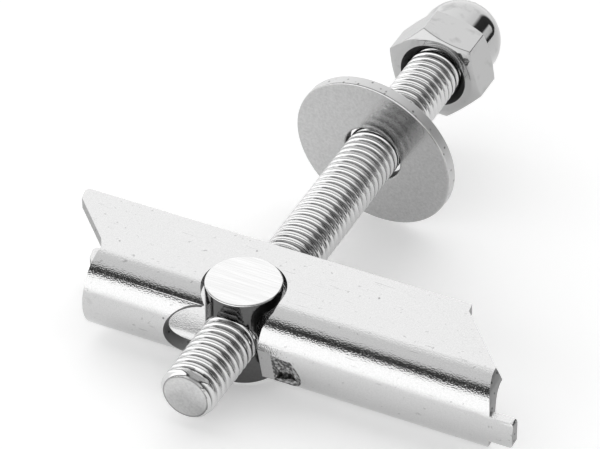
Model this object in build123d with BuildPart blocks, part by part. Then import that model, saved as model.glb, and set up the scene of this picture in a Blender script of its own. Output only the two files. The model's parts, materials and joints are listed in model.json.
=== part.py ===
from build123d import *
import os
from math import atan2, cos, radians, sin, tan

# Tilting toggle bolt, M6. A folded channel bar swings on a barrel nut, and the rod screws through that nut.
# A large washer and a cap nut sit on the rod's other end. Sizes are in millimetres.
# The bolt lies as it comes to rest: the barrel's lower front edge and the washer's rim are on the table, Z = 0.
# X runs along the bar, Y along the rod from its free tip to the cap nut, Z is up.

# Rod
rod_diameter = 6.0
rod_length = 66.0
tip_reach = 13.2  # from the pivot to the free tip
tip_chamfer = 0.5
stake_angle = 68.0  # degrees, where the tip was struck to keep the barrel nut on
stake_depth = 0.75  # at the tip, running out to nothing
stake_length = 1.5

# Barrel nut
barrel_diameter = 8.0
barrel_length = 10.3
barrel_bevel = 0.12
thread_clearance = 0.05

# Toggle bar, folded from one sheet
sheet = 1.3
rod_gap = 0.2  # between the rod and each flange
fold_setback = 0.6  # from the pivot to the centre line of the half-round fold
flange_reach = 7.3  # from the pivot to the open edges
flange_half_length = 22.0
ear_depth_left = 1.7  # the short blunt end of each flange
ear_depth_right = 1.1
ear_lean_left = 0.4
ear_lean_right = 0.15
ear_round = 0.5
ear_trim = 0.6  # how much shorter the lower flange's left ear is
heel_length = 0.65  # where the left slanted cut eases into the fold's end
heel_reach = 0.55
fold_left = 16.0
fold_right = 29.5
fold_end_sag = 1.4  # how far the right end's round edge falls back at the flanges
pivot_clearance = 0.4

# Slot in the fold, which lets the rod's tip swing to the left
slot_width = 8.0  # measured along the sheet
slot_left = 6.7
slot_right = 3.9
slot_shoulder = 2.2  # from the pivot to where the opening's right side closes in

# Stub of the strip that carried the blank, at the right end
tab_length = 2.4
tab_width = 3.0
tab_rise = 0.25
tab_root = 0.4
tab_corner = 0.4

# Press mark beside the slot
mark_angle = 14.0  # degrees below the middle of the fold
mark_strip_depth = 0.6  # flat from the slot to the step
mark_depth = 0.45  # shallower flat from the step on
mark_step = 5.4
mark_floor_end = 7.6  # where the floor starts to rise
mark_tip = 8.8
mark_width = 3.2
pocket_depth = 0.85  # three-cornered dent in the mark
# Its corners: along the mark from the step to the tip, and up from the mark's middle to its upper edge
pocket_shares = ((0.07, -0.95), (0.83, -0.45), (0.33, 0.6))

# Washer, leaning on the rod
washer_diameter = 18.8
washer_hole = 6.7
washer_thickness = 1.45
washer_edge = 0.15
washer_reach = 30.6  # from the pivot to the washer's front face
washer_lean = 5.6  # degrees, top towards the bar
washer_turn = 4.6  # degrees, right side towards the bar

# Cap nut
nut_grip = 6.6  # how far the rod goes into the nut
nut_across_flats = 10.0
nut_hex_height = 5.0
nut_height = 11.8
nut_dome_diameter = 9.2
nut_turn = -15.2  # degrees, a corner of the hexagon seen along the rod
nut_chamfer_angle = 30.0
nut_face_diameter = 9.2
nut_bearing_ring = 0.75  # flat ring between the countersink and the face's outer edge
nut_bottom_gap = 0.3

overrun = 2.0  # how far every cut runs past what it cuts

# Worked out from the sizes above
rod_radius = rod_diameter / 2
tip_radius = rod_radius - tip_chamfer
barrel_radius = barrel_diameter / 2
barrel_half = barrel_length / 2
inner_half = rod_radius + rod_gap
outer_half = inner_half + sheet
fold_front = fold_setback + outer_half
ear_slant = atan2(ear_lean_left, ear_depth_left)
left_end = flange_half_length - ear_round * ((1 + sin(ear_slant)) / cos(ear_slant) - 1)  # past the round
slot_bow = slot_width / 2 / outer_half
slot_half = outer_half * sin(slot_bow)
slot_reach = fold_setback + outer_half * cos(slot_bow)  # from the pivot to the slot's upper and lower edges
hole_radius = barrel_radius + pivot_clearance
washer_radius = washer_diameter / 2
nut_reach = rod_length - tip_reach - nut_grip  # from the pivot to the nut's bearing face
nut_bore = rod_diameter + 2 * thread_clearance
nut_mouth_diameter = nut_face_diameter - 2 * nut_bearing_ring
nut_corner_radius = nut_across_flats / 2 / cos(radians(30))
dome_radius = nut_dome_diameter / 2

# Lying pose: a line from the barrel's lower edge to the washer's lowest rim point is the table
foot_reach = barrel_radius - barrel_bevel
rim_reach = washer_reach + washer_radius * sin(radians(washer_lean))
rim_drop = washer_radius * cos(radians(washer_lean))
lie = atan2(rim_drop - barrel_half, rim_reach + foot_reach)
front_end = tip_reach * cos(lie) + tip_radius * sin(lie)
back_end = (nut_reach + nut_height - dome_radius) * cos(lie) + dome_radius
pivot = Vector(
    (left_end - fold_right - tab_length) / 2,
    (front_end - back_end) / 2,
    foot_reach * sin(lie) + barrel_half * cos(lie),
)

# Views of the pivot: from above, from the free tip and from the bar's right end
top = Plane(pivot, x_dir=(1, 0, 0), z_dir=(0, -sin(lie), cos(lie)))
front = Plane(pivot, x_dir=top.x_dir, z_dir=-top.y_dir)
side = Plane(pivot, x_dir=top.y_dir, z_dir=top.x_dir)

os.makedirs("parts", exist_ok=True)

# Threaded rod, drawn at the thread's outer diameter
stake_out = front.x_dir * cos(radians(stake_angle)) + front.y_dir * sin(radians(stake_angle))
with BuildPart() as threaded_rod:
    with BuildSketch(front.offset(tip_reach)):
        Circle(rod_radius)
    extrude(amount=-rod_length)
    chamfer(threaded_rod.edges().filter_by(GeomType.CIRCLE), length=tip_chamfer)
    # Slanted flat where the tip was struck
    with BuildSketch(Plane(pivot, x_dir=top.y_dir, z_dir=top.y_dir.cross(stake_out))):
        fall = stake_depth / stake_length
        Polygon(
            (stake_length - tip_reach, rod_radius),
            (-tip_reach - overrun, rod_radius - stake_depth - fall * overrun),
            (-tip_reach - overrun, rod_radius),
            align=None,
        )
    extrude(amount=rod_diameter, both=True, mode=Mode.SUBTRACT)
threaded_rod.part.label = "threaded_rod"
export_step(threaded_rod.part, "parts/threaded_rod.step")

# Barrel nut, cross-drilled for the rod
with BuildPart() as barrel_nut:
    with BuildSketch(top.offset(-barrel_half)):
        Circle(barrel_radius)
    extrude(amount=barrel_length)
    chamfer(barrel_nut.edges().filter_by(GeomType.CIRCLE), length=barrel_bevel)
    with BuildSketch(front):
        Circle(rod_radius + thread_clearance)
    extrude(amount=barrel_diameter, both=True, mode=Mode.SUBTRACT)
barrel_nut.part.label = "barrel_nut"
export_step(barrel_nut.part, "parts/barrel_nut.step")

# Outline of the half-round fold seen from the front, with its slot
with BuildPart() as fold_outline:
    with BuildSketch(front):
        with Locations(((fold_right - fold_left) / 2, 0)):
            Rectangle(fold_left + fold_right, 2 * (outer_half + overrun))
        slot_bend = slot_left - slot_width / 2
        with Locations((-slot_bend, 0)):
            Ellipse(slot_width / 2, slot_half, mode=Mode.SUBTRACT)
        with Locations(((slot_right - slot_bend) / 2, 0)):
            Rectangle(slot_right + slot_bend, 2 * slot_half, mode=Mode.SUBTRACT)
    extrude(amount=fold_front + overrun)

# The fold's outer skin: a half cylinder trimmed to that outline, so the slot's edges come out square to the sheet
with BuildLine(side.offset(-fold_left)) as fold_arc:
    CenterArc((-fold_setback, 0), outer_half, 90, 180)
fold_sheet = Face.extrude(fold_arc.edge(), top.x_dir * (fold_left + fold_right))
fold_skin = fold_sheet & fold_outline.part

# Directions of the press mark: the radius that it is pressed along, and the bar's length
mark_tilt = radians(mark_angle)
mark_out = front.z_dir * cos(mark_tilt) - front.y_dir * sin(mark_tilt)
fold_centre = pivot - top.y_dir * fold_setback
mark_plane = Plane(fold_centre, x_dir=top.x_dir, z_dir=top.x_dir.cross(mark_out))

# Toggle bar
with BuildPart() as toggle_bar:
    thicken(fold_skin, amount=sheet)
    # Round right end of the fold, cut straight from the front
    with BuildSketch(front.offset(fold_setback)):
        with BuildLine():
            right = fold_right - fold_end_sag
            far = fold_right + overrun
            reach = outer_half + overrun
            ThreePointArc((right, -outer_half), (fold_right, 0), (right, outer_half))
            Polyline((right, outer_half), (right, reach), (far, reach))
            Polyline((far, reach), (far, -reach), (right, -reach), (right, -outer_half))
        make_face()
    extrude(amount=reach, mode=Mode.SUBTRACT)
    # Upper flange, then the lower one with its shorter left ear
    for underside, ear_left in ((inner_half, flange_half_length), (-outer_half, flange_half_length - ear_trim)):
        with BuildSketch(top.offset(underside)):
            flange = Polygon(
                (-fold_left, -fold_setback),
                (-fold_left - heel_length, heel_reach),
                (-ear_left + ear_lean_left, flange_reach - ear_depth_left),
                (-ear_left, flange_reach),
                (flange_half_length, flange_reach),
                (flange_half_length + ear_lean_right, flange_reach - ear_depth_right),
                (fold_right - fold_end_sag, -fold_setback),
                align=None,
            )
            fillet(flange.vertices().group_by(Axis.X)[0], ear_round)
        extrude(amount=sheet)
    # Holes for the barrel through both flanges, which open into the slot on the right
    with BuildSketch(top):
        Circle(hole_radius)
        mouth = slot_reach + pivot_clearance
        Polygon(
            (0, 0),
            (0, -mouth),
            (slot_right, -mouth),
            (hole_radius, -slot_shoulder),
            (hole_radius, 0),
            align=None,
        )
    extrude(amount=outer_half + overrun, both=True, mode=Mode.SUBTRACT)
    # Stub at the right end, with the fold's own curve on its face
    with BuildSketch(side.offset(fold_right - tab_root)):
        with Locations((-fold_setback, 0)):
            Circle(outer_half)
        with Locations((-fold_front, tab_rise)):
            Rectangle(2 * sheet, tab_width, mode=Mode.INTERSECT)
    extrude(amount=tab_root + tab_length)
    fillet(toggle_bar.edges().filter_by(Axis(pivot, top.y_dir)).group_by(Axis.X)[-1], tab_corner)
    # Press mark: the sheet behind it is pushed in, then its face is cut flat
    with BuildSketch(mark_plane):
        strip = outer_half - mark_strip_depth
        Polygon(
            (slot_right, strip),
            (mark_tip, strip),
            (mark_tip, inner_half),
            (mark_floor_end, inner_half - mark_depth),
            (slot_right, inner_half - mark_strip_depth),
            align=None,
        )
    extrude(amount=mark_width / 2, both=True)
    with BuildSketch(mark_plane):
        above = outer_half + overrun
        Polygon(
            (slot_right - overrun, strip),
            (mark_step, strip),
            (mark_step, outer_half - mark_depth),
            (mark_floor_end, outer_half - mark_depth),
            (mark_tip, outer_half),
            (mark_tip, above),
            (slot_right - overrun, above),
            align=None,
        )
    extrude(amount=mark_width, both=True, mode=Mode.SUBTRACT)
    with BuildSketch(Plane(fold_centre + mark_out * (outer_half - pocket_depth), x_dir=top.x_dir, z_dir=mark_out)):
        corners = [
            (mark_step + (mark_tip - mark_step) * along_share, mark_width / 2 * up_share)
            for along_share, up_share in pocket_shares
        ]
        Polygon(*corners, align=None)
    extrude(amount=pocket_depth + overrun, mode=Mode.SUBTRACT)
toggle_bar.part.label = "toggle_bar"
export_step(toggle_bar.part, "parts/toggle_bar.step")

# Washer, on a plane of its own because it leans on the rod
washer_axis = top.y_dir + top.x_dir * tan(radians(washer_turn)) + top.z_dir * tan(radians(washer_lean))
washer_plane = Plane(pivot + top.y_dir * washer_reach, z_dir=-washer_axis)
with BuildPart() as washer:
    with BuildSketch(washer_plane):
        Circle(washer_radius)
        Circle(washer_hole / 2, mode=Mode.SUBTRACT)
    extrude(amount=-washer_thickness)
    chamfer(washer.edges().filter_by(GeomType.CIRCLE), length=washer_edge)
washer.part.label = "washer"
export_step(washer.part, "parts/washer.step")

# Cap nut: a chamfered hexagon under a dome, bored from its bearing face
with BuildPart() as cap_nut:
    with BuildSketch(front.offset(-nut_reach)):
        RegularPolygon(nut_corner_radius, 6, rotation=nut_turn)
    extrude(amount=-nut_hex_height)
    with BuildSketch(side):
        face_radius = nut_face_diameter / 2
        slope = (nut_corner_radius - face_radius) * tan(radians(nut_chamfer_angle))
        shoulder = nut_reach + nut_hex_height
        Polygon(
            (nut_reach, 0),
            (nut_reach, face_radius),
            (nut_reach + slope, nut_corner_radius),
            (shoulder - slope, nut_corner_radius),
            (shoulder, face_radius),
            (shoulder, 0),
            align=None,
        )
    revolve(axis=Axis(pivot, top.y_dir), mode=Mode.INTERSECT)
    with BuildSketch(side):
        crown = nut_reach + nut_height
        with BuildLine():
            Polyline((crown, 0), (shoulder, 0), (shoulder, dome_radius), (crown - dome_radius, dome_radius))
            RadiusArc((crown - dome_radius, dome_radius), (crown, 0), dome_radius)
        make_face()
    revolve(axis=Axis(pivot, top.y_dir))
    with BuildSketch(front.offset(-nut_reach)):
        Circle(nut_bore / 2)
    extrude(amount=-nut_grip - nut_bottom_gap, mode=Mode.SUBTRACT)
    bearing_edges = cap_nut.edges().filter_by(GeomType.CIRCLE).group_by(Axis(pivot, top.y_dir))[0]
    chamfer(bearing_edges.sort_by(SortBy.RADIUS)[0], length=(nut_mouth_diameter - nut_bore) / 2)
cap_nut.part.label = "cap_nut"
export_step(cap_nut.part, "parts/cap_nut.step")
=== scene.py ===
"""Looks of a gravity toggle bolt: plated steel pieces around the packed model, on a light table."""
import json
from math import cos, hypot, pi, radians

import bmesh
import bpy
from bpy.props import (
    FloatProperty, FloatVectorProperty, IntProperty, PointerProperty, StringProperty)
from mathutils import Matrix, Vector


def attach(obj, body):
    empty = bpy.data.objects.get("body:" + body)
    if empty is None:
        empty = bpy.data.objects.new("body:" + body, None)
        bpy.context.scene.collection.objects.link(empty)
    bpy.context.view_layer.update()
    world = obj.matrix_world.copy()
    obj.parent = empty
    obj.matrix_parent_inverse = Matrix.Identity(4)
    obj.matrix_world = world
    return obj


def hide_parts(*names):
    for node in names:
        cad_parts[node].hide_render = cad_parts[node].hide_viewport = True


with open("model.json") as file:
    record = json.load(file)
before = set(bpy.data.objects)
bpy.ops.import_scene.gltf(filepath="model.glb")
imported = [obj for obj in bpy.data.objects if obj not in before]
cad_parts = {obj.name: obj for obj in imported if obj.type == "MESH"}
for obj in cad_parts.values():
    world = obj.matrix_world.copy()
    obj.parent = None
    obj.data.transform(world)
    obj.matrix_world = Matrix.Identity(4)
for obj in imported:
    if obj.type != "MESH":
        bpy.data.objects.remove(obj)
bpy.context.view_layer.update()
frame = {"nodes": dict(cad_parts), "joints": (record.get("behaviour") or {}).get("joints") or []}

bl_info = {
    "name": "Gravity Toggle Bolt",
    "version": (1, 0, 0),
    "blender": (4, 5, 0),
    "location": "View3D > Sidebar > Toggle Bolt",
    "description": "Dresses a packed toggle bolt with a rolled thread, eased edges and plated finishes",
    "category": "Object",
}

MM = 0.001
JOINTS = {joint["name"]: joint for joint in frame["joints"]}

# The bolt's own directions, from the joints: the bar's length, the rod from tip to cap nut, and the
# barrel's axis. PLACE leads from the bolt's own frame, which starts in the barrel, to the shared one
PIVOT = Vector(JOINTS["bar_swing"]["pos_m"])
ALONG = Vector(JOINTS["washer_slide"]["axis"]).normalized()
BARREL_UP = Vector(JOINTS["bar_swing"]["axis"]).normalized()
BAR_RIGHT = ALONG.cross(BARREL_UP)
PLACE = Matrix.Translation(PIVOT) @ Matrix((BAR_RIGHT, ALONG, BARREL_UP)).transposed().to_4x4()

# Points that are nearer than this are one, and faces that turn by less than this are one flat face
DOUBLE = 0.001 * MM
FLAT_TURN = radians(0.2)
# Edges that turn by more than this are eased, in this many steps
EASED_TURN = radians(24)
EASED_STEPS = 2
# Edges that turn by more than this stay sharp in the shading
SHARP_TURN = radians(40)
SHARP_THREAD_TURN = radians(50)

# The thread's flank begins and ends at these shares of a pitch from the middle of the crest
FLANK_START = 0.15
FLANK_END = 0.47
# The cosine of the turn away from the strike on the tip is held at this or more
STRIKE_COSINE = 0.2
# The thread's rims join the end faces across this, and faces this near to the tip are its end face
END_SEAM = 0.002 * MM
TIP_SKIN = 0.03 * MM

# A face with at least this cosine to the way through the sheet is the sheet's skin, not a cut edge
SHEET_COSINE = 0.95
# A face mostly faces along an axis above this part of its direction, and barely does below this one
MOSTLY = 0.5
BARELY = 0.3
# Faces of the washer's hole lie within its radius and this, and faces of its rim beyond it and this
HOLE_REACH = 0.1 * MM
RIM_REACH = 0.5 * MM

# Sockets of a Mix node for colours, whose names repeat
MIX_SHARE = 0
MIX_FROM = 6
MIX_TO = 7
MIX_RESULT = 2

# Light of the tent, as place and brightness: over its arch from front to back, and from left to right
ARCH_LIGHT = (
    (0.0, 1.7), (0.20, 1.7), (0.235, 1.5), (0.262, 0.05), (0.36, 0.05), (0.415, 0.92), (0.61, 0.95),
    (0.665, 1.45), (1.0, 1.45))
SIDE_LIGHT = (
    (0.0, 1.05), (0.325, 1.0), (0.51, 0.95), (0.70, 0.75), (0.80, 0.55), (0.84, 0.4), (1.0, 0.4))


class ThreadSizes(bpy.types.PropertyGroup):
    """Sizes of the rod and its rolled thread."""

    length: FloatProperty(
        name="Rod Length", description="From the free tip to the end in the cap nut",
        default=66.0 * MM, unit="LENGTH", precision=5)
    tip_reach: FloatProperty(
        name="Tip Reach", description="From the barrel's axis to the free tip",
        default=13.2 * MM, unit="LENGTH", precision=5)
    outer_radius: FloatProperty(
        name="Crest Radius", description="Half the thread's outer diameter",
        default=3.0 * MM, unit="LENGTH", precision=5)
    depth: FloatProperty(
        name="Thread Depth", description="From crest to root",
        default=0.52 * MM, unit="LENGTH", precision=5)
    pitch: FloatProperty(
        name="Pitch", description="From crest to crest",
        default=1.0 * MM, unit="LENGTH", precision=5)
    chamfer: FloatProperty(
        name="End Chamfer", description="Chamfer at both ends",
        default=0.5 * MM, unit="LENGTH", precision=5)
    stake_angle: FloatProperty(
        name="Stake Angle", description="Where the tip was struck, from the bar's right",
        default=radians(68.0), subtype="ANGLE")
    stake_depth: FloatProperty(
        name="Stake Depth", description="How deep the strike is at the tip",
        default=0.75 * MM, unit="LENGTH", precision=5)
    stake_length: FloatProperty(
        name="Stake Length", description="How far the strike runs from the tip",
        default=1.5 * MM, unit="LENGTH", precision=5)
    around: IntProperty(
        name="Steps Around", description="Faces around the rod", default=72, min=24, max=128)
    per_pitch: IntProperty(
        name="Steps per Pitch", description="Faces from crest to crest", default=10, min=6, max=12)


class EdgeSizes(bpy.types.PropertyGroup):
    """How far the sharp edges of the solids are eased."""

    bar: FloatProperty(
        name="Bar Edges", description="Rounding of the sheared sheet's edges",
        default=0.12 * MM, unit="LENGTH", precision=5)
    barrel: FloatProperty(
        name="Barrel Edges", description="Rounding of the turned barrel's edges",
        default=0.06 * MM, unit="LENGTH", precision=5)
    washer: FloatProperty(
        name="Washer Edges", description="Rounding of the stamped ring's edges",
        default=0.08 * MM, unit="LENGTH", precision=5)
    nut: FloatProperty(
        name="Nut Edges", description="Rounding of the nut's corners",
        default=0.12 * MM, unit="LENGTH", precision=5)


class FinishPlaces(bpy.types.PropertyGroup):
    """Sizes of the bolt that tell where one finish meets another."""

    fold_setback: FloatProperty(
        name="Fold Setback", description="From the barrel's axis towards the tip, to the fold's centre line",
        default=0.6 * MM, unit="LENGTH", precision=5)
    fold_radius: FloatProperty(
        name="Fold Radius", description="Outer radius of the half-round fold",
        default=4.5 * MM, unit="LENGTH", precision=5)
    fold_end: FloatProperty(
        name="Fold End", description="From the barrel's axis to the fold's right end",
        default=29.5 * MM, unit="LENGTH", precision=5)
    mark_start: FloatProperty(
        name="Mark Start", description="From the barrel's axis to the press mark's step",
        default=5.4 * MM, unit="LENGTH", precision=5)
    mark_end: FloatProperty(
        name="Mark End", description="From the barrel's axis to the press mark's far end",
        default=8.8 * MM, unit="LENGTH", precision=5)
    mark_height: FloatProperty(
        name="Mark Height", description="The press mark's finish ends this far above and below the axis",
        default=3.6 * MM, unit="LENGTH", precision=5)
    mark_top: FloatProperty(
        name="Mark Top", description="The press mark's finish starts this deep under the fold's skin",
        default=0.06 * MM, unit="LENGTH", precision=5)
    mark_floor: FloatProperty(
        name="Mark Floor", description="The press mark's finish ends this deep under the fold's skin",
        default=1.0 * MM, unit="LENGTH", precision=5)
    nut_mouth: FloatProperty(
        name="Nut Mouth", description="Radius of the cap nut's countersink",
        default=3.85 * MM, unit="LENGTH", precision=5)
    washer_hole: FloatProperty(
        name="Washer Hole", description="Radius of the washer's hole",
        default=3.35 * MM, unit="LENGTH", precision=5)


class FinishColours(bpy.types.PropertyGroup):
    """Colours of the plated finishes, as sRGB hex."""

    bar: StringProperty(
        name="Bar", description="Zinc on pressed sheet", default="#CBCBCB")
    barrel: StringProperty(
        name="Barrel", description="Zinc on the barrel's turned ends", default="#D8D8D8")
    # The barrel side colour is painted shade: a darker copy of the barrel's plate for its dark reflection
    barrel_side_shade: StringProperty(
        name="Barrel Side", description="Dark turned side of the barrel", default="#686868")
    rod: StringProperty(
        name="Rod", description="Zinc on rolled thread", default="#D4D4D4")
    # The thread root colour is painted shade that darkens the grooves
    root: StringProperty(
        name="Thread Root", description="Oily roots of the thread", default="#3C3C3C")
    tip: StringProperty(
        name="Tip", description="Sheared steel of the rod's free end", default="#D6D6D6")
    washer: StringProperty(
        name="Washer", description="Zinc on the stamped ring", default="#C4C4C4")
    rim: StringProperty(
        name="Washer Rim", description="Sheared rim of the stamped ring", default="#D0D0D0")
    nut: StringProperty(
        name="Nut", description="Nickel on the cap nut", default="#B2B2B2")
    edge: StringProperty(
        name="Cut Edges", description="Sheared edges of the sheet", default="#A4A4A4")
    # The press mark colour is painted shade for the sunk mark, mixed between bright crumbs
    mark: StringProperty(
        name="Press Mark", description="Bare steel in the press mark", default="#505050")
    # The bore colour is painted shade, darkening the cap nut's bore and the washer's hole
    bore_shade: StringProperty(
        name="Bore", description="Bore of the cap nut and hole of the washer", default="#4A4A4A")
    floor: StringProperty(
        name="Floor", description="Light table", default="#FAFAFA")


class StageSizes(bpy.types.PropertyGroup):
    """Camera, light table and light tent."""

    camera_place: FloatVectorProperty(
        name="Camera Place", description="Where the camera stands",
        default=(0.1410738, -0.3364776, 0.2384032), subtype="TRANSLATION", precision=5)
    camera_turn: FloatVectorProperty(
        name="Camera Turn", description="How the camera is turned",
        default=(radians(57.4427), radians(-2.6968), radians(25.8021)), subtype="EULER")
    sensor: FloatProperty(
        name="Sensor", description="Width of the camera's sensor, in millimetres", default=36.0)
    lens: FloatProperty(
        name="Lens", description="Focal length on that sensor, in millimetres", default=246.09)
    floor_width: FloatProperty(
        name="Floor Width", description="Side of the light table", default=4.0, unit="LENGTH")
    floor_glow: FloatProperty(
        name="Floor Glow", description="Light that comes through the table", default=0.28)
    tent_light: FloatProperty(
        name="Tent Light", description="Brightness of the light tent", default=1.0)


def linear(hex_colour):
    """Turn an sRGB hex colour into linear red, green, blue and alpha."""
    parts = [int(hex_colour[i:i + 2], 16) / 255 for i in (1, 3, 5)]
    return [c / 12.92 if c <= 0.04045 else ((c + 0.055) / 1.055) ** 2.4 for c in parts] + [1.0]


def add(tree, kind, inputs=(), **settings):
    """Add a node with its settings, and set or link its inputs, given by name or in order.

    A node given as an input is linked by its first output. In order, a Map Range takes a value, the
    range that it comes from and the range that it goes to.
    """
    node = tree.nodes.new(kind)
    for name, value in settings.items():
        setattr(node, name, value)
    for key, value in inputs.items() if isinstance(inputs, dict) else enumerate(inputs):
        if isinstance(value, bpy.types.Node):
            value = value.outputs[0]
        if isinstance(value, bpy.types.NodeSocket):
            tree.links.new(value, node.inputs[key])
        else:
            node.inputs[key].default_value = value
    return node


def new_finish(name):
    """Start an empty node material."""
    material = bpy.data.materials.new(name)
    material.use_nodes = True
    material.node_tree.nodes.clear()
    return material, material.node_tree


def zinc_on_sheet(colour):
    """Bright zinc plate on pressed sheet.

    Cold rolled sheet keeps a fine pebbled grain under the plate, so sharp reflections break up into
    specks, and handling leaves flecks of dirt, shallow pits and short scratches.
    """
    material, tree = new_finish("zinc_plated_sheet")
    place = add(tree, "ShaderNodeTexCoord").outputs["Object"]
    # Pebbles of the rolled sheet, drawn 0.13 mm across, coarser than they are, so that they show
    grain = add(tree, "ShaderNodeTexNoise", {
        "Vector": place, "Scale": 1 / (0.13 * MM), "Detail": 0.0})
    bump = add(tree, "ShaderNodeBump", {
        "Strength": 1.0, "Distance": 0.016 * MM, "Height": grain})
    # Sparse dark pits up to 0.3 mm across, one in about 2.5 mm
    pits = add(tree, "ShaderNodeTexVoronoi", {"Vector": place, "Scale": 1 / (2.5 * MM)})
    pit = add(tree, "ShaderNodeMapRange", [pits, 0.03, 0.06, 0.4, 1.0])
    # Flecks of dirt 0.3 mm across
    flecks = add(tree, "ShaderNodeTexNoise", {
        "Vector": place, "Scale": 1 / (0.6 * MM), "Detail": 3.0})
    fleck = add(tree, "ShaderNodeMapRange", [flecks, 0.66, 0.75, 1.0, 0.7])
    # Scratches 0.15 mm wide and 3 mm long, slanted by 35 degrees
    slant = add(tree, "ShaderNodeMapping", {
        "Vector": place, "Rotation": (0, 0, radians(35)),
        "Scale": (1 / (3.0 * MM), 1 / (0.15 * MM), 1 / (3.0 * MM))})
    scratches = add(tree, "ShaderNodeTexNoise", {"Vector": slant, "Scale": 1.0, "Detail": 1.0})
    scratch = add(tree, "ShaderNodeMapRange", [scratches, 0.72, 0.78, 1.0, 0.8])
    # Mottled plate, from the same pebbles, under all of these
    wear = add(tree, "ShaderNodeMapRange", [grain, 0.3, 0.7, 0.94, 1.0])
    for mark in (pit, fleck, scratch):
        wear = add(tree, "ShaderNodeMath", [wear, mark], operation="MULTIPLY")
    tone = add(tree, "ShaderNodeMix", {MIX_SHARE: 1.0, MIX_FROM: linear(colour), MIX_TO: wear},
               data_type="RGBA", blend_type="MULTIPLY")
    # Slow clouding of the gloss, 4 mm across
    cloud = add(tree, "ShaderNodeTexNoise", {
        "Vector": place, "Scale": 1 / (4.0 * MM), "Detail": 3.0})
    rough = add(tree, "ShaderNodeMapRange", [cloud, 0.3, 0.7, 0.10, 0.16])
    shader = add(tree, "ShaderNodeBsdfPrincipled", {
        "Base Color": tone.outputs[MIX_RESULT], "Metallic": 1.0, "Roughness": rough, "Normal": bump})
    add(tree, "ShaderNodeOutputMaterial", {"Surface": shader})
    return material


def zinc_on_turning(name, colour):
    """Zinc plate on turned bar.

    The skimmed ends are bright with fine straight lines, and a darker copy on the clear, mirrored
    side is painted shade, standing in for the dark reflection there.
    """
    material, tree = new_finish(name)
    place = add(tree, "ShaderNodeTexCoord").outputs["Object"]
    # Skimming lines, as fine as still shows: 0.2 mm apart, 6 mm long and 20 degrees off the bar
    lines = add(tree, "ShaderNodeMapping", {
        "Vector": place, "Rotation": (0, 0, radians(-20)),
        "Scale": (1 / (6.0 * MM), 1 / (0.2 * MM), 1 / (0.2 * MM))})
    noise = add(tree, "ShaderNodeTexNoise", {"Vector": lines, "Scale": 1.0, "Detail": 2.0})
    bump = add(tree, "ShaderNodeBump", {
        "Strength": 0.5, "Distance": 0.012 * MM, "Height": noise})
    rough = add(tree, "ShaderNodeMapRange", [noise, 0.3, 0.7, 0.08, 0.14])
    shade = add(tree, "ShaderNodeMapRange", [noise, 0.35, 0.65, 0.9, 1.0])
    tone = add(tree, "ShaderNodeMix", {MIX_SHARE: 1.0, MIX_FROM: linear(colour), MIX_TO: shade},
               data_type="RGBA", blend_type="MULTIPLY")
    shader = add(tree, "ShaderNodeBsdfPrincipled", {
        "Base Color": tone.outputs[MIX_RESULT], "Metallic": 1.0, "Roughness": rough, "Normal": bump})
    add(tree, "ShaderNodeOutputMaterial", {"Surface": shader})
    return material


def zinc_on_thread(colour, root_shade_colour):
    """Bright zinc plate on a rolled thread.

    Rolling leaves broad burnished crests with fine streaks around the rod, and the roots are darkened
    with painted shade.
    """
    material, tree = new_finish("zinc_plated_thread")
    place = add(tree, "ShaderNodeTexCoord").outputs["Object"]
    # Streaks 0.15 mm wide across the rod's length, drawn out 1.2 mm around it
    streaks = add(tree, "ShaderNodeMapping", {
        "Vector": place, "Scale": (1 / (1.2 * MM), 1 / (0.15 * MM), 1 / (1.2 * MM))})
    noise = add(tree, "ShaderNodeTexNoise", {"Vector": streaks, "Scale": 1.0, "Detail": 3.0})
    bump = add(tree, "ShaderNodeBump", {
        "Strength": 0.3, "Distance": 0.008 * MM, "Height": noise})
    rough = add(tree, "ShaderNodeMapRange", [noise, 0.3, 0.7, 0.12, 0.20])
    # The tree that winds the thread stores how deep each point lies in the groove
    depth = add(tree, "ShaderNodeAttribute", attribute_name="thread_root").outputs["Fac"]
    # Painted shade: points deep in the groove are darkened towards the root colour, for the shade in the
    # roots
    painted_shade = add(tree, "ShaderNodeMapRange", [depth, 0.45, 0.95], interpolation_type="SMOOTHSTEP")
    tone = add(tree, "ShaderNodeMix", {
        MIX_SHARE: painted_shade, MIX_FROM: linear(colour), MIX_TO: linear(root_shade_colour)}, data_type="RGBA")
    shader = add(tree, "ShaderNodeBsdfPrincipled", {
        "Base Color": tone.outputs[MIX_RESULT], "Metallic": 1.0, "Roughness": rough, "Normal": bump})
    add(tree, "ShaderNodeOutputMaterial", {"Surface": shader})
    return material


def sheared_steel(name, colour):
    """Sheared or drilled steel under thin zinc, on cut edges and holes.

    The torn grain scatters light, so a cut looks matt beside the plate, and it holds specks of dirt.
    """
    material, tree = new_finish(name)
    place = add(tree, "ShaderNodeTexCoord").outputs["Object"]
    # Torn grain, 0.15 mm across
    grain = add(tree, "ShaderNodeTexNoise", {
        "Vector": place, "Scale": 1 / (0.15 * MM), "Detail": 3.0})
    bump = add(tree, "ShaderNodeBump", {"Strength": 0.4, "Distance": 0.02 * MM, "Height": grain})
    # Specks of dirt up to 0.3 mm across, one in about 0.7 mm
    specks = add(tree, "ShaderNodeTexVoronoi", {"Vector": place, "Scale": 1 / (0.7 * MM)})
    speck = add(tree, "ShaderNodeMapRange", [specks, 0.12, 0.24, 0.3, 1.0])
    tone = add(tree, "ShaderNodeMix", {MIX_SHARE: 1.0, MIX_FROM: linear(colour), MIX_TO: speck},
               data_type="RGBA", blend_type="MULTIPLY")
    shader = add(tree, "ShaderNodeBsdfPrincipled", {
        "Base Color": tone.outputs[MIX_RESULT], "Metallic": 1.0, "Roughness": 0.55, "Normal": bump})
    add(tree, "ShaderNodeOutputMaterial", {"Surface": shader})
    return material


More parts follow.
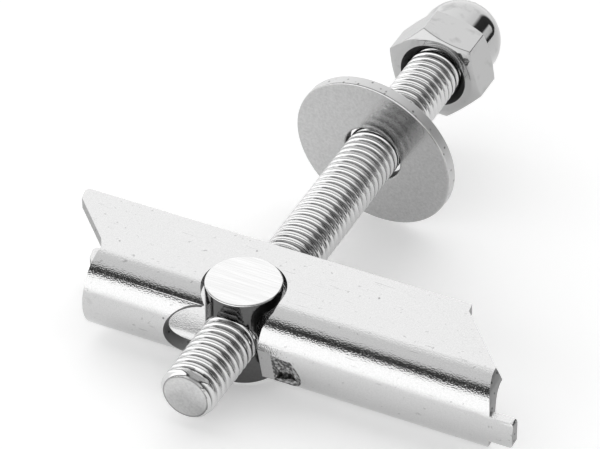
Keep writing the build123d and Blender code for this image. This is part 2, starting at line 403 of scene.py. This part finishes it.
def sheared_tip(colour, face_radius):
    """Sheared steel of the rod's free end.

    The shear leaves a fine torn grain, and a thin dark line where the face meets the chamfer.
    """
    material, tree = new_finish("sheared_tip")
    place = add(tree, "ShaderNodeTexCoord").outputs["Object"]
    # Torn grain, 0.25 mm across
    grain = add(tree, "ShaderNodeTexNoise", {
        "Vector": place, "Scale": 1 / (0.25 * MM), "Detail": 3.0})
    bump = add(tree, "ShaderNodeBump", {"Strength": 0.5, "Distance": 0.02 * MM, "Height": grain})
    worn = add(tree, "ShaderNodeMapRange", [grain, 0.3, 0.7, 0.84, 1.0])
    # Dark line at the face's rim, by the distance from the rod's axis
    arm = add(tree, "ShaderNodeVectorMath", [place, PIVOT], operation="SUBTRACT")
    aside = add(tree, "ShaderNodeVectorMath", [arm, ALONG], operation="CROSS_PRODUCT")
    out = add(tree, "ShaderNodeVectorMath", [aside], operation="LENGTH").outputs["Value"]
    rim = add(tree, "ShaderNodeMapRange", [
        out, 0.92 * face_radius, 0.98 * face_radius, 1.0, 0.45])
    wear = add(tree, "ShaderNodeMath", [worn, rim], operation="MULTIPLY")
    tone = add(tree, "ShaderNodeMix", {MIX_SHARE: 1.0, MIX_FROM: linear(colour), MIX_TO: wear},
               data_type="RGBA", blend_type="MULTIPLY")
    shader = add(tree, "ShaderNodeBsdfPrincipled", {
        "Base Color": tone.outputs[MIX_RESULT], "Metallic": 1.0, "Roughness": 0.5, "Normal": bump})
    add(tree, "ShaderNodeOutputMaterial", {"Surface": shader})
    return material


def punched_zinc_painted_shade(colour, painted_shade_colour):
    """Zinc torn by a punch, in the bar's press mark.

    The punch drags the plate into bright crumbs, so the mark glitters; the dark colour between the
    crumbs is painted shade in the sunk mark.
    """
    material, tree = new_finish("punched_zinc_painted_shade")
    place = add(tree, "ShaderNodeTexCoord").outputs["Object"]
    # Crumbs about 0.2 mm across
    crumbs = add(tree, "ShaderNodeTexNoise", {
        "Vector": place, "Scale": 1 / (0.4 * MM), "Detail": 3.0})
    bump = add(tree, "ShaderNodeBump", {"Strength": 0.8, "Distance": 0.03 * MM, "Height": crumbs})
    # Painted shade: between the crumbs the colour goes dark, for the dark reflection in the sunk mark
    torn = add(tree, "ShaderNodeMapRange", [crumbs, 0.46, 0.64])
    tone = add(tree, "ShaderNodeMix", {
        MIX_SHARE: torn, MIX_FROM: linear(painted_shade_colour), MIX_TO: linear(colour)}, data_type="RGBA")
    shader = add(tree, "ShaderNodeBsdfPrincipled", {
        "Base Color": tone.outputs[MIX_RESULT], "Metallic": 1.0, "Roughness": 0.3, "Normal": bump})
    add(tree, "ShaderNodeOutputMaterial", {"Surface": shader})
    return material


def zinc_on_washer(colour):
    """Zinc plate on a stamped, tumbled ring.

    Tumbling leaves an even half gloss with the softest clouding, so the rod's reflection has blurred
    edges.
    """
    material, tree = new_finish("zinc_plated_ring")
    place = add(tree, "ShaderNodeTexCoord").outputs["Object"]
    # Tumbling marks, 0.3 mm across
    marks = add(tree, "ShaderNodeTexNoise", {
        "Vector": place, "Scale": 1 / (0.3 * MM), "Detail": 3.0})
    bump = add(tree, "ShaderNodeBump", {"Strength": 0.25, "Distance": 0.01 * MM, "Height": marks})
    rough = add(tree, "ShaderNodeMapRange", [marks, 0.3, 0.7, 0.15, 0.21])
    worn = add(tree, "ShaderNodeMapRange", [marks, 0.3, 0.7, 0.84, 1.0])
    tone = add(tree, "ShaderNodeMix", {MIX_SHARE: 1.0, MIX_FROM: linear(colour), MIX_TO: worn},
               data_type="RGBA", blend_type="MULTIPLY")
    shader = add(tree, "ShaderNodeBsdfPrincipled", {
        "Base Color": tone.outputs[MIX_RESULT], "Metallic": 1.0, "Roughness": rough, "Normal": bump})
    add(tree, "ShaderNodeOutputMaterial", {"Surface": shader})
    return material


def nickel_on_nut(colour):
    """Polished nickel plate on a cold formed nut.

    Forming and polishing leave gentle waves under a clear gloss, so reflections bend without
    blurring, and handling leaves dull smudges.
    """
    material, tree = new_finish("polished_nickel")
    place = add(tree, "ShaderNodeTexCoord").outputs["Object"]
    # Waves of the polished surface, 2 mm across
    waves = add(tree, "ShaderNodeTexNoise", {
        "Vector": place, "Scale": 1 / (2.0 * MM), "Detail": 2.0})
    bump = add(tree, "ShaderNodeBump", {"Strength": 0.12, "Distance": 0.05 * MM, "Height": waves})
    rough = add(tree, "ShaderNodeMapRange", [waves, 0.3, 0.7, 0.05, 0.09])
    # Smudges 0.7 mm across
    smudges = add(tree, "ShaderNodeTexNoise", {
        "Vector": place, "Scale": 1 / (1.4 * MM), "Detail": 4.0})
    smudge = add(tree, "ShaderNodeMapRange", [smudges, 0.55, 0.75, 1.0, 0.8])
    tone = add(tree, "ShaderNodeMix", {MIX_SHARE: 1.0, MIX_FROM: linear(colour), MIX_TO: smudge},
               data_type="RGBA", blend_type="MULTIPLY")
    shader = add(tree, "ShaderNodeBsdfPrincipled", {
        "Base Color": tone.outputs[MIX_RESULT], "Metallic": 1.0, "Roughness": rough, "Normal": bump})
    add(tree, "ShaderNodeOutputMaterial", {"Surface": shader})
    return material


def opal_acrylic(colour, glow):
    """Sanded white acrylic of the light table, matt and lit a little from below."""
    material, tree = new_finish("opal_acrylic")
    shader = add(tree, "ShaderNodeBsdfPrincipled", {
        "Base Color": linear(colour), "Roughness": 0.9, "Emission Color": linear(colour),
        "Emission Strength": glow})
    add(tree, "ShaderNodeOutputMaterial", {"Surface": shader})
    return material


def light_tent(brightness):
    """Make a white tent that arches from front to back along the bar, with a gap in its front top.

    At the back right it opens to a dark room with one bright pane in it.
    """
    world = bpy.data.worlds.new("light_tent")
    world.use_nodes = True
    tree = world.node_tree
    tree.nodes.clear()
    ray = add(tree, "ShaderNodeTexCoord").outputs["Generated"]
    way = add(tree, "ShaderNodeSeparateXYZ", [ray]).outputs
    front = add(tree, "ShaderNodeMath", [way["Y"], -1.0], operation="MULTIPLY")
    rise = add(tree, "ShaderNodeMath", [way["Z"], front], operation="ARCTAN2")
    over = add(tree, "ShaderNodeMath", [rise, pi], operation="DIVIDE")
    across = add(tree, "ShaderNodeMapRange", [way["X"], -1.0, 1.0])
    shades = []
    for share, stops in ((over, ARCH_LIGHT), (across, SIDE_LIGHT)):
        ramp = add(tree, "ShaderNodeValToRGB", [share])
        elements = ramp.color_ramp.elements
        while len(elements) < len(stops):
            elements.new(0.5)
        for element, (place, shade) in zip(elements, stops):
            element.position = place
            element.color = (shade, shade, shade, 1.0)
        shades.append(ramp.outputs["Color"])
    cloth = add(tree, "ShaderNodeMix", {MIX_SHARE: 1.0, MIX_FROM: shades[0], MIX_TO: shades[1]},
                data_type="RGBA", blend_type="MULTIPLY")
    # The room and its pane: way to the middle, rim and core as angles from it, light outside and inside
    openings = (
        ((0.68, 0.68, 0.27), radians(31), radians(25), brightness, 0.05),
        ((0.64, 0.73, 0.24), radians(8), radians(4.5), 0.0, 1.3))
    strengths = []
    for middle, rim, core, outside, inside in openings:
        near = add(tree, "ShaderNodeVectorMath", [ray, Vector(middle).normalized()],
                   operation="DOT_PRODUCT").outputs["Value"]
        strengths.append(
            add(tree, "ShaderNodeMapRange", [near, cos(rim), cos(core), outside, inside]))
    strength = add(tree, "ShaderNodeMath", strengths, operation="ADD")
    light = add(tree, "ShaderNodeBackground", {
        "Color": cloth.outputs[MIX_RESULT], "Strength": strength})
    add(tree, "ShaderNodeOutputWorld", {"Surface": light})
    return world


def thread_tree():
    """Build the node tree that winds a rolled thread around the rod's axis.

    A flat grid is rolled up so that its rows follow the helix: a row keeps one height on the thread's
    profile, and the seam closes one pitch further on. Rows past an end are pulled back onto it.
    """
    tree = bpy.data.node_groups.new("rolled_thread", "GeometryNodeTree")
    tree.is_modifier = True
    kinds = {
        "NodeSocketFloat": ("Length", "Tip Reach", "Crest Radius", "Depth", "Pitch", "Chamfer",
                            "Stake Angle", "Stake Depth", "Stake Length"),
        "NodeSocketInt": ("Steps Around", "Steps per Pitch"),
        "NodeSocketMaterial": ("Thread Finish", "Tip Finish"),
    }
    face = tree.interface
    face.new_socket("Geometry", in_out="INPUT", socket_type="NodeSocketGeometry")
    for kind, names in kinds.items():
        for name in names:
            face.new_socket(name, in_out="INPUT", socket_type=kind)
    face.new_socket("Geometry", in_out="OUTPUT", socket_type="NodeSocketGeometry")
    given = add(tree, "NodeGroupInput").outputs
    length = given["Length"]
    reach = given["Tip Reach"]
    crest = given["Crest Radius"]
    pitch = given["Pitch"]

    # Rows run one pitch past the rod's length, because a row falls back by a pitch in its turn
    run = add(tree, "ShaderNodeMath", [length, pitch], operation="ADD")
    turns = add(tree, "ShaderNodeMath", [run, pitch], operation="DIVIDE")
    rows = add(tree, "ShaderNodeMath", [turns, given["Steps per Pitch"], 1.0],
               operation="MULTIPLY_ADD")
    columns = add(tree, "ShaderNodeMath", [given["Steps Around"], 1.0], operation="ADD")
    grid = add(tree, "GeometryNodeMeshGrid", {
        "Size X": 1.0, "Size Y": 1.0, "Vertices X": columns, "Vertices Y": rows})

    # The grid's middle is at zero, so half its size is added for shares from 0 to 1
    flat = add(tree, "ShaderNodeSeparateXYZ", [add(tree, "GeometryNodeInputPosition")]).outputs
    around = add(tree, "ShaderNodeMath", [flat["X"], 0.5], operation="ADD")
    angle = add(tree, "ShaderNodeMath", [around, 2 * pi], operation="MULTIPLY")
    up = add(tree, "ShaderNodeMath", [flat["Y"], 0.5], operation="ADD")
    wound = add(tree, "ShaderNodeMath", [up, turns], operation="MULTIPLY")
    behind = add(tree, "ShaderNodeMath", [wound, around], operation="SUBTRACT")
    free = add(tree, "ShaderNodeMath", [behind, pitch], operation="MULTIPLY")
    height = add(tree, "ShaderNodeClamp", {"Value": free, "Min": 0.0, "Max": length})

    # Profile: rounded crest and root with sloping flanks between, each half a pitch a mirror image
    wave = add(tree, "ShaderNodeMath", [wound, 0.5], operation="PINGPONG")
    root = add(tree, "ShaderNodeMath", [crest, given["Depth"]], operation="SUBTRACT")
    profile = add(tree, "ShaderNodeMapRange", [wave, FLANK_START, FLANK_END, crest, root],
                  interpolation_type="SMOOTHSTEP")

    # Chamfered ends
    left = add(tree, "ShaderNodeMath", [length, height], operation="SUBTRACT")
    nearest = add(tree, "ShaderNodeMath", [height, left], operation="MINIMUM")
    face_radius = add(tree, "ShaderNodeMath", [crest, given["Chamfer"]], operation="SUBTRACT")
    slope = add(tree, "ShaderNodeMath", [face_radius, nearest], operation="ADD")
    ended = add(tree, "ShaderNodeMath", [profile, slope], operation="MINIMUM")

    # How deep a point lies in the groove, from 0 on the crest or the chamfer to 1 at the root
    outline = add(tree, "ShaderNodeMath", [slope, crest], operation="MINIMUM")
    sunk = add(tree, "ShaderNodeMath", [outline, ended], operation="SUBTRACT")
    groove = add(tree, "ShaderNodeMath", [sunk, given["Depth"]], operation="DIVIDE")
    marked = add(tree, "GeometryNodeStoreNamedAttribute", {
        "Geometry": grid, "Name": "thread_root", "Value": groove}, data_type="FLOAT", domain="POINT")

    # Slanted flat struck on the tip
    off = add(tree, "ShaderNodeMath", [angle, given["Stake Angle"]], operation="SUBTRACT")
    facing = add(tree, "ShaderNodeMath", [off], operation="COSINE")
    towards = add(tree, "ShaderNodeMath", [facing, STRIKE_COSINE], operation="MAXIMUM")
    deepest = add(tree, "ShaderNodeMath", [crest, given["Stake Depth"]], operation="SUBTRACT")
    level = add(tree, "ShaderNodeMapRange", [height, 0.0, given["Stake Length"], deepest, crest])
    struck = add(tree, "ShaderNodeMath", [level, towards], operation="DIVIDE")
    radius = add(tree, "ShaderNodeMath", [ended, struck], operation="MINIMUM")

    cosine = add(tree, "ShaderNodeMath", [angle], operation="COSINE")
    sine = add(tree, "ShaderNodeMath", [angle], operation="SINE")
    rolled = add(tree, "ShaderNodeCombineXYZ", {
        "X": add(tree, "ShaderNodeMath", [radius, cosine], operation="MULTIPLY"),
        "Y": add(tree, "ShaderNodeMath", [height, reach], operation="SUBTRACT"),
        "Z": add(tree, "ShaderNodeMath", [radius, sine], operation="MULTIPLY")})
    skin = add(tree, "GeometryNodeSetPosition", {"Geometry": marked, "Position": rolled})

    # Flat faces close both ends
    disc = add(tree, "GeometryNodeMeshCircle", {
        "Vertices": given["Steps Around"], "Radius": face_radius}, fill_type="NGON")
    tip_at = add(tree, "ShaderNodeMath", [reach, -1.0], operation="MULTIPLY")
    end_at = add(tree, "ShaderNodeMath", [length, reach], operation="SUBTRACT")
    caps = [
        add(tree, "GeometryNodeTransform", {
            "Geometry": disc, "Rotation": (pi / 2, 0, 0),
            "Translation": add(tree, "ShaderNodeCombineXYZ", {"Y": at})})
        for at in (tip_at, end_at)]
    joined = add(tree, "GeometryNodeJoinGeometry")
    for piece in (skin, *caps):
        tree.links.new(piece.outputs[0], joined.inputs[0])
    closed = add(tree, "GeometryNodeMergeByDistance", {"Geometry": joined, "Distance": END_SEAM})

    real = add(tree, "GeometryNodeRealizeInstances", {"Geometry": closed})
    plated = add(tree, "GeometryNodeSetMaterial", {
        "Geometry": real, "Material": given["Thread Finish"]})
    spot = add(tree, "ShaderNodeSeparateXYZ", [add(tree, "GeometryNodeInputPosition")]).outputs["Y"]
    past = add(tree, "ShaderNodeMath", [tip_at, TIP_SKIN], operation="ADD")
    at_tip = add(tree, "FunctionNodeCompare", [spot, past],
                 operation="LESS_THAN", data_type="FLOAT")
    tipped = add(tree, "GeometryNodeSetMaterial", {
        "Geometry": plated, "Selection": at_tip, "Material": given["Tip Finish"]})
    add(tree, "NodeGroupOutput", {"Geometry": tipped})
    return tree


def finish_mesh(mesh, sharp):
    """Merge doubles, point the faces outwards and shade smoothly up to an angle."""
    work = bmesh.new()
    work.from_mesh(mesh)
    bmesh.ops.remove_doubles(work, verts=work.verts, dist=DOUBLE)
    bmesh.ops.recalc_face_normals(work, faces=work.faces)
    work.to_mesh(mesh)
    work.free()
    mesh.polygons.foreach_set("use_smooth", [True] * len(mesh.polygons))
    mesh.set_sharp_from_angle(angle=sharp)
    mesh.update()


def evaluated_mesh(piece):
    """Turn a piece's modifiers into a plain mesh and take them off."""
    graph = bpy.context.evaluated_depsgraph_get()
    mesh = bpy.data.meshes.new_from_object(
        piece.evaluated_get(graph), preserve_all_data_layers=True, depsgraph=graph)
    piece.modifiers.clear()
    piece.data = mesh
    return mesh


def eased_copy(node, name, width, finish):
    """Copy a solid's mesh, round its sharp edges by a small width and give it a finish."""
    mesh = frame["nodes"][node].data.copy()
    work = bmesh.new()
    work.from_mesh(mesh)
    bmesh.ops.remove_doubles(work, verts=work.verts, dist=DOUBLE)
    bmesh.ops.dissolve_limit(work, angle_limit=FLAT_TURN, verts=work.verts, edges=work.edges)
    work.to_mesh(mesh)
    work.free()
    mesh.materials.clear()
    mesh.materials.append(finish)
    piece = bpy.data.objects.new(name, mesh)
    bpy.context.scene.collection.objects.link(piece)
    bevel = piece.modifiers.new("eased edges", "BEVEL")
    bevel.width = width
    bevel.segments = EASED_STEPS
    bevel.limit_method = "ANGLE"
    bevel.angle_limit = EASED_TURN
    bevel.use_clamp_overlap = True
    finish_mesh(evaluated_mesh(piece), SHARP_TURN)
    # Large faces keep their own direction, so that a rounded edge doesn't bend the reflections beside it
    piece.modifiers.new("true faces", "WEIGHTED_NORMAL").keep_sharp = True
    evaluated_mesh(piece)
    return piece


def second_finish(piece, finish, rule):
    """Give another finish to the faces that a rule picks.

    The rule gets a face's place and direction in the bolt's own frame: along the bar, along the rod
    and up the barrel.
    """
    index = len(piece.data.materials)
    piece.data.materials.append(finish)
    to_bolt = PLACE.inverted()
    for polygon in piece.data.polygons:
        if rule(to_bolt @ polygon.center, to_bolt.to_3x3() @ polygon.normal):
            polygon.material_index = index


def settle(piece, node, body):
    """Let a piece stand for its node and ride on its body."""
    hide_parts(node)
    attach(piece, body)


class TOGGLEBOLT_OT_rod(bpy.types.Operator):
    """Wind the rolled thread on the rod"""

    bl_idname = "togglebolt.rod"
    bl_label = "Threaded Rod"

    def execute(self, context):
        sizes = context.scene.togglebolt_thread
        colours = context.scene.togglebolt_colours
        tree = thread_tree()
        piece = bpy.data.objects.new("rolled_rod", bpy.data.meshes.new("rolled_rod"))
        context.scene.collection.objects.link(piece)
        modifier = piece.modifiers.new("thread", "NODES")
        modifier.node_group = tree
        values = {
            "Length": sizes.length,
            "Tip Reach": sizes.tip_reach,
            "Crest Radius": sizes.outer_radius,
            "Depth": sizes.depth,
            "Pitch": sizes.pitch,
            "Chamfer": sizes.chamfer,
            "Stake Angle": sizes.stake_angle,
            "Stake Depth": sizes.stake_depth,
            "Stake Length": sizes.stake_length,
            "Steps Around": sizes.around,
            "Steps per Pitch": sizes.per_pitch,
            "Thread Finish": zinc_on_thread(colours.rod, colours.root),
            "Tip Finish": sheared_tip(colours.tip, sizes.outer_radius - sizes.chamfer),
        }
        for socket in tree.interface.items_tree:
            if socket.in_out == "INPUT" and socket.name in values:
                modifier[socket.identifier] = values[socket.name]
        mesh = evaluated_mesh(piece)
        mesh.transform(PLACE)
        finish_mesh(mesh, SHARP_THREAD_TURN)
        settle(piece, "threaded_rod", "rod")
        return {"FINISHED"}


class TOGGLEBOLT_OT_bar(bpy.types.Operator):
    """Dress the folded toggle bar"""

    bl_idname = "togglebolt.bar"
    bl_label = "Toggle Bar"

    def execute(self, context):
        colours = context.scene.togglebolt_colours
        places = context.scene.togglebolt_places
        width = context.scene.togglebolt_edges.bar
        piece = eased_copy("toggle_bar", "pressed_bar", width, zinc_on_sheet(colours.bar))

        def cut_or_eased(place, normal):
            # The stub's upper side is smooth and keeps its plate
            if place.x > places.fold_end and normal.z > MOSTLY:
                return False
            # Through the sheet is out from the fold's centre line, or straight up in the flanges
            through = Vector((0, min(place.y + places.fold_setback, 0), place.z)).normalized()
            if place.y >= -places.fold_setback:
                through = Vector((0, 0, 1))
            return abs(normal.dot(through)) < SHEET_COSINE

        def in_press_mark(place, normal):
            sunk = places.fold_radius - hypot(place.y + places.fold_setback, place.z)
            return (places.mark_start < place.x < places.mark_end
                    and abs(place.z) < places.mark_height
                    and places.mark_top < sunk < places.mark_floor
                    and normal.y < BARELY)

        second_finish(piece, sheared_steel("sheared_sheet_edge", colours.edge), cut_or_eased)
        # The press mark's faces get painted shade between bright crumbs
        second_finish(piece, punched_zinc_painted_shade(colours.bar, colours.mark), in_press_mark)
        settle(piece, "toggle_bar", "bar")
        return {"FINISHED"}


class TOGGLEBOLT_OT_barrel(bpy.types.Operator):
    """Dress the cross-drilled barrel nut"""

    bl_idname = "togglebolt.barrel"
    bl_label = "Barrel Nut"

    def execute(self, context):
        colours = context.scene.togglebolt_colours
        width = context.scene.togglebolt_edges.barrel
        bright = zinc_on_turning("zinc_plated_turning", colours.barrel)
        # Painted shade: the barrel's side gets a darker copy of the turned finish, for the dark reflection
        # there
        painted_shade = zinc_on_turning("painted_shade_turning", colours.barrel_side_shade)
        piece = eased_copy("barrel_nut", "turned_barrel", width, bright)
        second_finish(piece, painted_shade, lambda place, normal: abs(normal.z) < BARELY)
        settle(piece, "barrel_nut", "barrel")
        return {"FINISHED"}


class TOGGLEBOLT_OT_washer(bpy.types.Operator):
    """Dress the leaning washer"""

    bl_idname = "togglebolt.washer"
    bl_label = "Washer"

    def execute(self, context):
        colours = context.scene.togglebolt_colours
        width = context.scene.togglebolt_edges.washer
        hole = context.scene.togglebolt_places.washer_hole
        piece = eased_copy("washer", "stamped_washer", width, zinc_on_washer(colours.washer))

        def in_hole(place, normal):
            return hypot(place.x, place.z) < hole + HOLE_REACH and abs(normal.y) < MOSTLY

        def on_rim(place, normal):
            return hypot(place.x, place.z) > hole + RIM_REACH and abs(normal.y) < MOSTLY

        # Painted shade in the washer's hole, over sheared grain and specks
        second_finish(piece, sheared_steel("sheared_hole_painted_shade", colours.bore_shade), in_hole)
        second_finish(piece, sheared_steel("sheared_ring_rim", colours.rim), on_rim)
        settle(piece, "washer", "washer")
        return {"FINISHED"}


class TOGGLEBOLT_OT_nut(bpy.types.Operator):
    """Dress the cap nut"""

    bl_idname = "togglebolt.nut"
    bl_label = "Cap Nut"

    def execute(self, context):
        colours = context.scene.togglebolt_colours
        width = context.scene.togglebolt_edges.nut
        mouth = context.scene.togglebolt_places.nut_mouth
        piece = eased_copy("cap_nut", "domed_nut", width, nickel_on_nut(colours.nut))

        def in_bore(place, normal):
            inwards = normal.x * place.x + normal.z * place.z < 0
            return inwards and hypot(place.x, place.z) < mouth

        # Painted shade in the cap nut's bore, over sheared grain and specks
        second_finish(piece, sheared_steel("cut_bore_painted_shade", colours.bore_shade), in_bore)
        settle(piece, "cap_nut", "nut")
        return {"FINISHED"}


class TOGGLEBOLT_OT_stage(bpy.types.Operator):
    """Set up the light table, the light tent and the camera"""

    bl_idname = "togglebolt.stage"
    bl_label = "Stage"

    def execute(self, context):
        scene = context.scene
        sizes = scene.togglebolt_stage
        half = sizes.floor_width / 2
        corners = [(-half, -half, 0), (half, -half, 0), (half, half, 0), (-half, half, 0)]
        mesh = bpy.data.meshes.new("light_table")
        mesh.from_pydata(corners, [], [(0, 1, 2, 3)])
        mesh.materials.append(opal_acrylic(scene.togglebolt_colours.floor, sizes.floor_glow))
        floor = bpy.data.objects.new("light_table", mesh)
        scene.collection.objects.link(floor)

        scene.world = light_tent(sizes.tent_light)

        lens = bpy.data.cameras.new("camera")
        lens.sensor_fit = "HORIZONTAL"
        lens.sensor_width = sizes.sensor
        lens.lens = sizes.lens
        lens.clip_start = 10 * MM
        camera = bpy.data.objects.new("camera", lens)
        camera.location = sizes.camera_place
        camera.rotation_euler = sizes.camera_turn
        scene.collection.objects.link(camera)
        scene.camera = camera
        scene.view_settings.view_transform = "Standard"
        return {"FINISHED"}


class TOGGLEBOLT_PT_pieces(bpy.types.Panel):
    """List the bolt's pieces and their sizes"""

    bl_idname = "TOGGLEBOLT_PT_pieces"
    bl_label = "Toggle Bolt"
    bl_space_type = "VIEW_3D"
    bl_region_type = "UI"
    bl_category = "Toggle Bolt"

    def draw(self, context):
        layout = self.layout
        for operator in OPERATORS:
            layout.operator(operator.bl_idname)
        for name, settings in SETTINGS.items():
            box = layout.box()
            box.label(text=settings.__doc__)
            for key in settings.__annotations__:
                box.prop(getattr(context.scene, name), key)


OPERATORS = (
    TOGGLEBOLT_OT_rod,
    TOGGLEBOLT_OT_bar,
    TOGGLEBOLT_OT_barrel,
    TOGGLEBOLT_OT_washer,
    TOGGLEBOLT_OT_nut,
    TOGGLEBOLT_OT_stage,
)
SETTINGS = {
    "togglebolt_thread": ThreadSizes,
    "togglebolt_edges": EdgeSizes,
    "togglebolt_places": FinishPlaces,
    "togglebolt_colours": FinishColours,
    "togglebolt_stage": StageSizes,
}


def register():
    """Add the settings, the operators and the panel."""
    for name, settings in SETTINGS.items():
        bpy.utils.register_class(settings)
        setattr(bpy.types.Scene, name, PointerProperty(type=settings))
    for operator in OPERATORS:
        bpy.utils.register_class(operator)
    bpy.utils.register_class(TOGGLEBOLT_PT_pieces)


def unregister():
    """Take the panel, the operators and the settings away again."""
    bpy.utils.unregister_class(TOGGLEBOLT_PT_pieces)
    for operator in reversed(OPERATORS):
        bpy.utils.unregister_class(operator)
    for name, settings in reversed(SETTINGS.items()):
        delattr(bpy.types.Scene, name)
        bpy.utils.unregister_class(settings)


def main():
    """Dress every piece and set up the stage."""
    register()
    bpy.ops.togglebolt.rod()
    bpy.ops.togglebolt.bar()
    bpy.ops.togglebolt.barrel()
    bpy.ops.togglebolt.washer()
    bpy.ops.togglebolt.nut()
    bpy.ops.togglebolt.stage()


if __name__ == "__main__":
    main()
